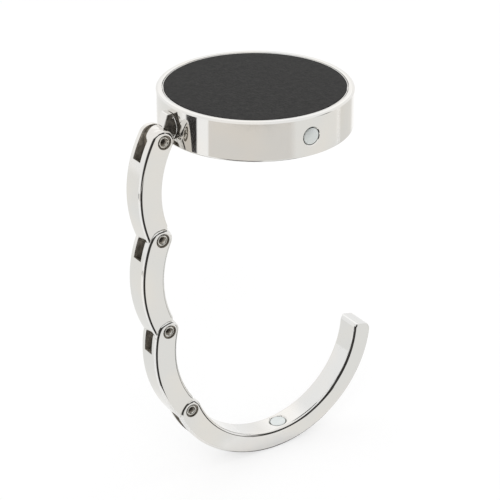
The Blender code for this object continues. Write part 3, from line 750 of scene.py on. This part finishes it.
def select_rims(piece, half_width, kept_sharp):
    """Select the edges round a slab's two flat sides, but not between corners kept sharp."""
    sharp = {(round(x, SPOT_DIGITS), round(z, SPOT_DIGITS)) for x, z in kept_sharp}
    mesh = bmesh.from_edit_mesh(piece.data)
    bpy.ops.mesh.select_all(action="DESELECT")
    bpy.context.tool_settings.mesh_select_mode = (False, True, False)
    for edge in mesh.edges:
        ends = [corner.co.y for corner in edge.verts]
        flat = all(abs(abs(y) - half_width) < MERGE for y in ends) and ends[0] * ends[1] > 0
        spots = {
            (round(corner.co.x, SPOT_DIGITS), round(corner.co.z, SPOT_DIGITS))
            for corner in edge.verts}
        edge.select = flat and not spots <= sharp
    mesh.select_flush_mode()
    bmesh.update_edit_mesh(piece.data)


def slab(name, outline, width, edge_round=0.0, kept_sharp=()):
    """Extrude a side view of (x, z) points along Y, and round the edges of both sides."""
    piece = start_polygon(name, outline)
    bpy.ops.transform.translate(value=(0, -width / 2, 0))
    bpy.ops.mesh.extrude_region_move(TRANSFORM_OT_translate={"value": (0, width, 0)})
    bpy.ops.mesh.select_all(action="SELECT")
    bpy.ops.mesh.normals_make_consistent(inside=False)
    if edge_round > 0:
        select_rims(piece, width / 2, kept_sharp)
        bpy.ops.mesh.bevel(
            offset=edge_round, segments=EDGE_STEPS, profile=0.5, affect="EDGES",
            clamp_overlap=False)
    bpy.ops.object.mode_set(mode="OBJECT")
    return piece


def soften(piece, width):
    """Take the bare sharpness off the edges that the cutting left."""
    modifier = piece.modifiers.new("softened", "BEVEL")
    modifier.width = width
    modifier.segments = 2
    modifier.limit_method = "ANGLE"
    modifier.angle_limit = SOFTEN_ANGLE
    bpy.context.view_layer.objects.active = piece
    bpy.ops.object.modifier_apply(modifier=modifier.name)


def bore_tool(name, reach):
    """A plain round tool for a rivet's hole, reaching as far on both sides."""
    return turned(name, [
        (0, -reach),
        (RIVET_HOLE_RADIUS, -reach),
        (RIVET_HOLE_RADIUS, reach),
        (0, reach)], SMALL_STEPS)


def cast_recess(name, dark, light):
    """Inside of a slot or pocket: plating on a rough milled wall, dull, its colour darkened as
    painted shade.
    """
    finish, sockets, flow = new_finish(name, 0.5, 0.75)
    spot = flow.node("TexCoord", {}, {}, "Object")
    shade_mottle = spot.noise(scale=700.0, detail=5.0)
    shade_mottle.ramp((0.3, dark), (0.7, light)).feed(sockets["Base Color"])
    (shade_mottle * 0.3 + 0.35).feed(sockets["Roughness"])
    shade_mottle.emboss(sockets, strength=0.6, distance=0.00004)
    return finish


def dress(piece, finish, shade_finish, shaded_faces):
    """Give a piece its bright finish, and the darker one with painted shade on the faces whose
    indices are listed.
    """
    piece.data.materials.append(finish)
    piece.data.materials.append(shade_finish)
    for index in shaded_faces:
        piece.data.polygons[index].material_index = 1


# The recess finish is darker than the plating: painted shade in the slots, rivet holes and pockets.
shaded_recess_finish = cast_recess("painted_shade_recess", (0.20, 0.18, 0.15), (0.50, 0.46, 0.40))
# The neck finish is darker still: painted shade on the swivel block's sides in the gap by the rim.
shaded_neck_finish = cast_recess("painted_shade_neck", (0.035, 0.032, 0.028), (0.20, 0.185, 0.16))


pin = (first_pin.x, first_pin.z)
half = NECK_HEIGHT / 2
heel_face = web_face - STOP_GAP
heel_side = heel_face - HEEL_WIDTH
face_angle = first_turn - math.acos(heel_face / BLOCK_LUG_RADIUS)
rim_angle = -math.asin((half - pin_drop) / BLOCK_LUG_RADIUS)
block = slab("swivel_casting", [
    (-PUCK_RADIUS - RIM_GAP, AXIS_HEIGHT - half),
    (-PUCK_RADIUS - RIM_GAP, AXIS_HEIGHT - TONGUE_HALF_HEIGHT),
    (-PUCK_RADIUS + FLANGE_THICKNESS / 2, AXIS_HEIGHT - TONGUE_HALF_HEIGHT),
    (-PUCK_RADIUS + FLANGE_THICKNESS / 2, AXIS_HEIGHT + TONGUE_HALF_HEIGHT),
    (-PUCK_RADIUS - RIM_GAP, AXIS_HEIGHT + TONGUE_HALF_HEIGHT),
    (-PUCK_RADIUS - RIM_GAP, AXIS_HEIGHT + half),
    (-PUCK_RADIUS - NECK_TOP_LENGTH, AXIS_HEIGHT + half),
    *arc(pin, BLOCK_LUG_RADIUS, LUG_TOP_ANGLE, math.pi, LUG_STEPS),
    (pin[0] - BLOCK_LUG_RADIUS, pin[1] - BLOCK_FACE_LENGTH),
    moved((heel_side, -HEEL_LENGTH), pin, first_turn),
    moved((heel_face, -HEEL_LENGTH), pin, first_turn),
    *arc(pin, BLOCK_LUG_RADIUS, face_angle, rim_angle, NECK_STEPS)], LUG_WIDTH)
carve(block, place(bore_tool("rivet_hole_tool", LUG_WIDTH), facing(first_pin, (0, 1, 0))))
soften(block, LUG_EDGE_ROUND)
stub_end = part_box("swivel_block")[1][0]
flange_face = -PUCK_RADIUS
stub = turned("stub_tool", [
    (0, flange_face),
    (FLANGE_RADIUS - FLANGE_EDGE, flange_face),
    (FLANGE_RADIUS, flange_face + FLANGE_EDGE),
    (FLANGE_RADIUS, flange_face + FLANGE_THICKNESS),
    (STUB_RADIUS, flange_face + FLANGE_THICKNESS),
    (STUB_RADIUS, stub_end),
    (0, stub_end)], SMALL_STEPS)
carve(block, place(stub, facing((0, 0, AXIS_HEIGHT), (1, 0, 0))), "UNION")
# The block's flat sides outside the puck take the neck finish, whose dark colour is painted shade.
shaded_faces = [
    face.index for face in block.data.polygons
    if abs(face.normal.y) > SQUARE_ON and face.center.x < -PUCK_RADIUS]
polish(block)
chain_plating = plated_metal("plated_chain", PLATING)
dress(block, chain_plating, shaded_neck_finish, shaded_faces)
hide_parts("swivel_block")
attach(block, "swivel")


# Links: three short curved castings, each with a slotted fork at its upper end and a round lug at
# its lower end. Stop faces on the outer side meet when the chain hangs open.
LINK_THICKNESS = 0.006
LINK_WIDTH = 0.0065
EDGE_ROUND = 0.0008
SHOULDER_GAP = 0.0002
SHOULDER_REACH = 0.0065
BLEND_START = math.radians(125)
BLEND_PAST_STOP = math.radians(12)
SLOT_WIDTH = 0.0031
SLOT_LENGTH = 0.0063
LINK_SPAN = math.radians(54.5)
INNER_CUT = math.radians(45)
HEAD_POCKET_RADIUS = 0.0017
HEAD_POCKET_DEPTH = 0.00055
CUT_EDGE = 0.00006
CHEEK_STEPS = 44
END_STEPS = 40
LINK_STEPS = 40
SHOULDER_FIRST = math.radians(-110)
SHOULDER_FAN = 0.5

ring_inner = PIN_CIRCLE - CHEEK_RADIUS
ring_outer = ring_inner + LINK_THICKNESS
outer_depth = ring_outer - PIN_CIRCLE
shoulder_radius = CHEEK_RADIUS + SHOULDER_GAP


def ring_point(radius, angle):
    """A point at an angle past the link's first pin; the arc's centre is on +X of the pin."""
    return (PIN_CIRCLE - radius * math.cos(angle), -radius * math.sin(angle))


def ring_angle(point):
    """How far round the arc's centre a point lies, from the link's first pin."""
    return math.atan2(-point[1], PIN_CIRCLE - point[0])


def meet_ring(start, way, radius):
    """Where a ray from a point first meets a circle round the arc's centre."""
    offset = (start[0] - PIN_CIRCLE, start[1])
    along = offset[0] * way[0] + offset[1] * way[1]
    rest = offset[0] ** 2 + offset[1] ** 2 - radius ** 2
    root = math.sqrt(along ** 2 - rest)
    reach = min(value for value in (-along - root, -along + root) if value > 0)
    return (start[0] + reach * way[0], start[1] + reach * way[1])


def cheek_radius(angle, fold):
    """How far the cheek's outline is from its pin: round on top, then blended into the ring."""
    last = math.pi + fold / 2 + BLEND_PAST_STOP
    share = min(max((angle - BLEND_START) / (last - BLEND_START), 0), 1)
    edge = meet_ring((0, 0), (math.cos(angle), math.sin(angle)), ring_outer)
    blend_share = share * share * (3 - 2 * share)
    return CHEEK_RADIUS + (math.hypot(*edge) - CHEEK_RADIUS) * blend_share


def cheek_outline(fold, first, gap):
    """The cheek's outline from an angle to past its stop face, drawn outwards by a gap."""
    last = math.pi + fold / 2 + BLEND_PAST_STOP
    points = []
    for step in range(CHEEK_STEPS + 1):
        angle = first + (last - first) * step / CHEEK_STEPS
        radius = cheek_radius(angle, fold) + gap
        points.append((radius * math.cos(angle), radius * math.sin(angle)))
    return points


def cut_shoulders(piece, far_pin, fold):
    """Clear both sides of a link's lug for the next link's cheeks, and bore the lug."""
    outline = cheek_outline(fold, SHOULDER_FIRST, SHOULDER_GAP)
    last = math.pi + fold / 2 + BLEND_PAST_STOP
    for swing in (last, last + SHOULDER_FAN):
        outline.append((SHOULDER_REACH * math.cos(swing), SHOULDER_REACH * math.sin(swing)))
    outline = [moved(point, far_pin, LINK_SPAN - fold) for point in outline]
    width = (LINK_WIDTH - LUG_WIDTH) / 2 + OVERRUN
    for side in (-1, 1):
        tool = slab(piece.name + "_shoulder_tool", outline, width)
        place(tool, Matrix.Translation((0, side * (LUG_WIDTH + width) / 2, 0)))
        carve(piece, tool)
    bore = bore_tool(piece.name + "_bore_tool", LINK_WIDTH)
    carve(piece, place(bore, facing((far_pin[0], 0, far_pin[1]), (0, 1, 0))))


def fork_end(fold):
    """The upper end of a casting whose cheeks carry the pin of a hinge that folds so far."""
    return cheek_outline(fold, 0, 0)


def plain_end():
    """The first link's end: round, and blended into the outer face."""
    points = []
    for step in range(END_STEPS + 1):
        angle = math.pi * step / END_STEPS
        depth = outer_depth if angle > quarter else CHEEK_RADIUS
        points.append((depth * math.cos(angle), CHEEK_RADIUS * math.sin(angle)))
    return points


def lug_end(fold):
    """The lower end, in the frame of its pin: stop face, neck, round lug and inner cut."""
    stop = math.pi - fold / 2
    away = (math.cos(stop), math.sin(stop))
    foot = (STOP_GAP * math.sin(stop), -STOP_GAP * math.cos(stop))
    reach = (-LUG_RADIUS - foot[0]) / away[0]
    return [
        meet_ring(foot, away, ring_outer),
        (-LUG_RADIUS, foot[1] + reach * away[1]),
        *arc((0, 0), LUG_RADIUS, math.pi, math.tau, LUG_STEPS),
        (LUG_RADIUS, LUG_RADIUS * math.tan(INNER_CUT)),
        meet_ring((0, 0), (math.cos(INNER_CUT), math.sin(INNER_CUT)), ring_inner)]


def arc_between(radius, first, last, steps):
    """Points of a stretch of the ring, without its two ends."""
    angles = [first + (last - first) * step / steps for step in range(1, steps)]
    return [ring_point(radius, angle) for angle in angles]


def cut_fork(piece):
    """Mill the slot, and bore the cheeks for the rivet and its sunk heads."""
    outside = -outer_depth - OVERRUN
    inside = CHEEK_RADIUS + OVERRUN
    slot = slab(piece.name + "_slot_tool", [
        (outside, -SLOT_LENGTH),
        (web_face, -SLOT_LENGTH),
        (web_face, -shoulder_radius),
        (inside, -shoulder_radius),
        (inside, inside),
        (outside, inside)], SLOT_WIDTH)
    carve(piece, slot)
    pocket_floor = LINK_WIDTH / 2 - HEAD_POCKET_DEPTH
    reach = LINK_WIDTH / 2 + OVERRUN
    hole = turned(piece.name + "_hole_tool", [
        (0, -reach),
        (HEAD_POCKET_RADIUS, -reach),
        (HEAD_POCKET_RADIUS, -pocket_floor),
        (RIVET_HOLE_RADIUS, -pocket_floor),
        (RIVET_HOLE_RADIUS, pocket_floor),
        (HEAD_POCKET_RADIUS, pocket_floor),
        (HEAD_POCKET_RADIUS, reach),
        (0, reach)], SMALL_STEPS)
    carve(piece, place(hole, facing((0, 0, 0), (0, 1, 0))))


def recess_faces(piece):
    """Indices of the faces inside a casting's slot, rivet holes and pockets for the heads."""
    found = []
    for face in piece.data.polygons:
        middle = face.center
        off_pin = math.hypot(middle.x, middle.z)
        in_slot = abs(middle.y) < SLOT_WIDTH / 2 + MERGE
        on_side = abs(face.normal.y) > SQUARE_ON and abs(middle.y) > SLOT_WIDTH / 2 - MERGE
        on_end = face.normal.z > SQUARE_ON and abs(middle.z + SLOT_LENGTH) < MERGE
        on_web = face.normal.x < -SQUARE_ON and abs(middle.x - web_face) < MERGE
        hole = off_pin < HEAD_POCKET_RADIUS + MERGE and abs(middle.y) < LINK_WIDTH / 2 - MERGE
        if hole or in_slot and (on_side or on_end or on_web):
            found.append(face.index)
    return found


def finish_casting(piece, node, body, pin, turn):
    """Deburr a casting made about its own pin, hang it in place, polish it and dress it."""
    soften(piece, CUT_EDGE)
    # The faces in the slot, holes and pockets take the recess finish, whose darker colour is painted
    # shade.
    shaded_faces = recess_faces(piece)
    place(piece, Matrix.Translation(pin) @ Matrix.Rotation(-turn, 4, "Y"))
    polish(piece)
    dress(piece, chain_plating, shaded_recess_finish, shaded_faces)
    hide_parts(node)
    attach(piece, body)


def inner_angle(node, pin, turn):
    """How far along a casting a magnet in its inner face lies."""
    local = Matrix.Rotation(turn, 4, "Y") @ (box_middle(node) - pin)
    return ring_angle((local.x, local.z))


def face_pocket(piece, angle):
    """Sink a magnet's pocket into a casting's inner face."""
    spot = ring_point(ring_inner, angle)
    sink_pocket(piece, (spot[0], 0, spot[1]), (math.cos(angle), 0, math.sin(angle)))


def face_magnet(node, angle, turn, body):
    """The magnet in a casting's inner face, which looks at the ring's centre."""
    way = moved((math.cos(angle), math.sin(angle)), (0, 0), turn)
    make_magnet(node, Vector((way[0], 0, way[1])), body)


pins = [Vector(joints["hinge_" + str(number)]["pos_m"]) for number in (1, 2, 3, 4)]
turns = [first_turn]
for fold in folds[1:]:
    turns.append(turns[-1] + LINK_SPAN - fold)
bodies = ("first_link", "second_link", "third_link", "arm")
far_pin = ring_point(PIN_CIRCLE, LINK_SPAN)
magnet_angle = inner_angle("link_magnet", pins[1], turns[1])
for index in range(3):
    start = plain_end() if index == 0 else fork_end(folds[index])
    end = [moved(point, far_pin, LINK_SPAN) for point in lug_end(folds[index + 1])]
    outer = arc_between(ring_outer, ring_angle(start[-1]), ring_angle(end[0]), LINK_STEPS)
    inner = arc_between(ring_inner, ring_angle(end[-1]), 0, LINK_STEPS)
    name = "link_" + str(index + 1)
    link = slab(
        name + "_casting", [*start, *outer, *end, *inner], LINK_WIDTH, EDGE_ROUND,
        kept_sharp=end)
    cut_fork(link)
    cut_shoulders(link, far_pin, folds[index + 1])
    if name == "link_2":
        face_pocket(link, magnet_angle)
    finish_casting(link, name, bodies[index], pins[index], turns[index])
face_magnet("link_magnet", magnet_angle, turns[1], "second_link")


# Hook arm: the long casting that holds the bag's handle. It thins slightly past its hinge and
# ends in a square tip with rounded edges.
ARM_THICKNESS = 0.0051
ARM_SPAN = math.radians(157)
ARM_TAPER_SPAN = math.radians(50)
TIP_OUTER_ROUND = 0.0018
TIP_INNER_ROUND = 0.0014
TIP_SLANT = 0.0009
TIP_SHARP_FIRST = 6
TIP_SHARP_LAST = 13
TIP_STEPS = 8
ARM_STEPS = 110


def arm_face_radius(angle):
    """The outer face's radius: a link's at the hinge, eased down to the arm's own."""
    share = min(max(angle / ARM_TAPER_SPAN, 0), 1)
    blend_share = share * share * (3 - 2 * share)
    return ring_outer - (LINK_THICKNESS - ARM_THICKNESS) * blend_share


start = fork_end(folds[3])
first = ring_angle(start[-1])
tip = []
for corner_round, middle, first_swing in (
        (TIP_OUTER_ROUND, ring_inner + ARM_THICKNESS - TIP_OUTER_ROUND, 0),
        (TIP_INNER_ROUND, ring_inner + TIP_INNER_ROUND, quarter)):
    for step in range(TIP_STEPS + 1):
        swing = first_swing + quarter * step / TIP_STEPS
        radius = middle + corner_round * math.cos(swing)
        drawn_back = corner_round * (1 - math.sin(swing))
        drawn_back += TIP_SLANT * (radius - ring_inner) / ARM_THICKNESS
        tip.append(ring_point(radius, ARM_SPAN - drawn_back / PIN_CIRCLE))
last = ring_angle(tip[0])
outer = []
for step in range(1, ARM_STEPS):
    angle = first + (last - first) * step / ARM_STEPS
    outer.append(ring_point(arm_face_radius(angle - first), angle))
inner = arc_between(ring_inner, ring_angle(tip[-1]), 0, ARM_STEPS)
arm = slab(
    "hook_casting", [*start, *outer, *tip, *inner], LINK_WIDTH, EDGE_ROUND,
    kept_sharp=tip[TIP_SHARP_FIRST:TIP_SHARP_LAST])
cut_fork(arm)
magnet_angle = inner_angle("hook_magnet", pins[3], turns[3])
face_pocket(arm, magnet_angle)
finish_casting(arm, "hook_arm", "arm", pins[3], turns[3])
face_magnet("hook_magnet", magnet_angle, turns[3], "arm")


# Rivets: tubular steel pins through the forks. Their ends are rolled over into round beads that
# sit in the cheeks' pockets, so each shows a bright ring with a dark hole, whose walls are darkened
# with painted shade.
RIVET_RADIUS = 0.001
RIVET_BORE_RADIUS = 0.00055
RIVET_HEAD_THICKNESS = 0.0003
RIVET_BEAD_RADIUS = 0.00112
BEAD_WIDTH = 0.00022
BEAD_HEIGHT = 0.00015
BEAD_STEPS = 14
BEAD_FIRST_DEGREES = -30
BEAD_SWEEP_DEGREES = 205
FLARE_RADIUS = 0.00078
FLARE_DEPTH = 0.0006
rivet_finish = plated_metal("rivet_nickel", (0.66, 0.645, 0.60), 0.12)
for number, (pin, body) in enumerate(zip(pins, bodies), 1):
    node = "hinge_rivet_" + str(number)
    head_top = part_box(node)[1][1]
    bead_centre = (RIVET_BEAD_RADIUS, head_top - BEAD_HEIGHT)
    upper = [(RIVET_RADIUS, head_top - RIVET_HEAD_THICKNESS)]
    for step in range(BEAD_STEPS + 1):
        angle = math.radians(BEAD_FIRST_DEGREES + BEAD_SWEEP_DEGREES * step / BEAD_STEPS)
        upper.append((
            bead_centre[0] + BEAD_WIDTH * math.cos(angle),
            bead_centre[1] + BEAD_HEIGHT * math.sin(angle)))
    upper += [
        (FLARE_RADIUS, head_top - FLARE_DEPTH / 2),
        (RIVET_BORE_RADIUS, head_top - FLARE_DEPTH)]
    lower = [(radius, -height) for radius, height in reversed(upper)]
    rivet = turned(node + "_tube", [*upper, *lower], SMALL_STEPS)
    place(rivet, facing(pin, (0, 1, 0)))
    polish(rivet)
    # The rivet's bore takes the recess finish, whose darker colour is painted shade in the hole.
    bore = [
        face.index for face in rivet.data.polygons
        if math.hypot(face.center.x - pin.x, face.center.z - pin.z) < FLARE_RADIUS]
    dress(rivet, rivet_finish, shaded_recess_finish, bore)
    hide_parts(node)
    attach(rivet, body)
